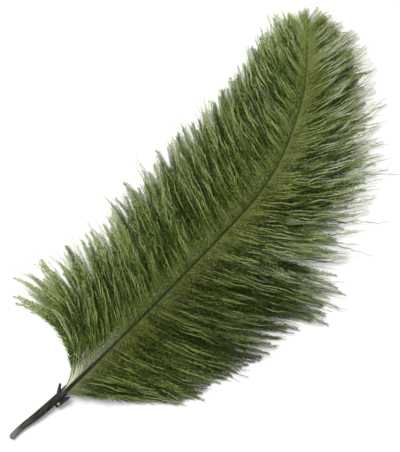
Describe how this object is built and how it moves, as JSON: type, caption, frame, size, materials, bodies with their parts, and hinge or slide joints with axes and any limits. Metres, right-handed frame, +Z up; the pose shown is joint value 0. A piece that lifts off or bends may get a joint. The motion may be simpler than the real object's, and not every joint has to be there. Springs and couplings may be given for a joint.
{
  "type": "ostrich feather",
  "caption": "Dyed moss-green ostrich plume lying flat: a dark, gently curved shaft with a bare quill, and soft, loose, drooping barbs along both of its sides.",
  "frame": {"origin": "middle of the feather's outline, on the surface it lies on", "axes": "+Y from the quill towards the tip, +Z up off the surface, +X towards the right vane"},
  "size_m": [0.1492, 0.2956, 0.0126],
  "materials": {
    "quill_horn": "dyed keratin, a dull sheen",
    "left_vane_barbs": "dyed moss-green barbs, soft and matte",
    "right_vane_barbs": "dyed olive-green barbs, soft and matte"
  },
  "bodies": {
    "root": {"shaft": "quill_horn", "left_vane": "left_vane_barbs", "right_vane": "right_vane_barbs"}
  },
  "joints": []
}
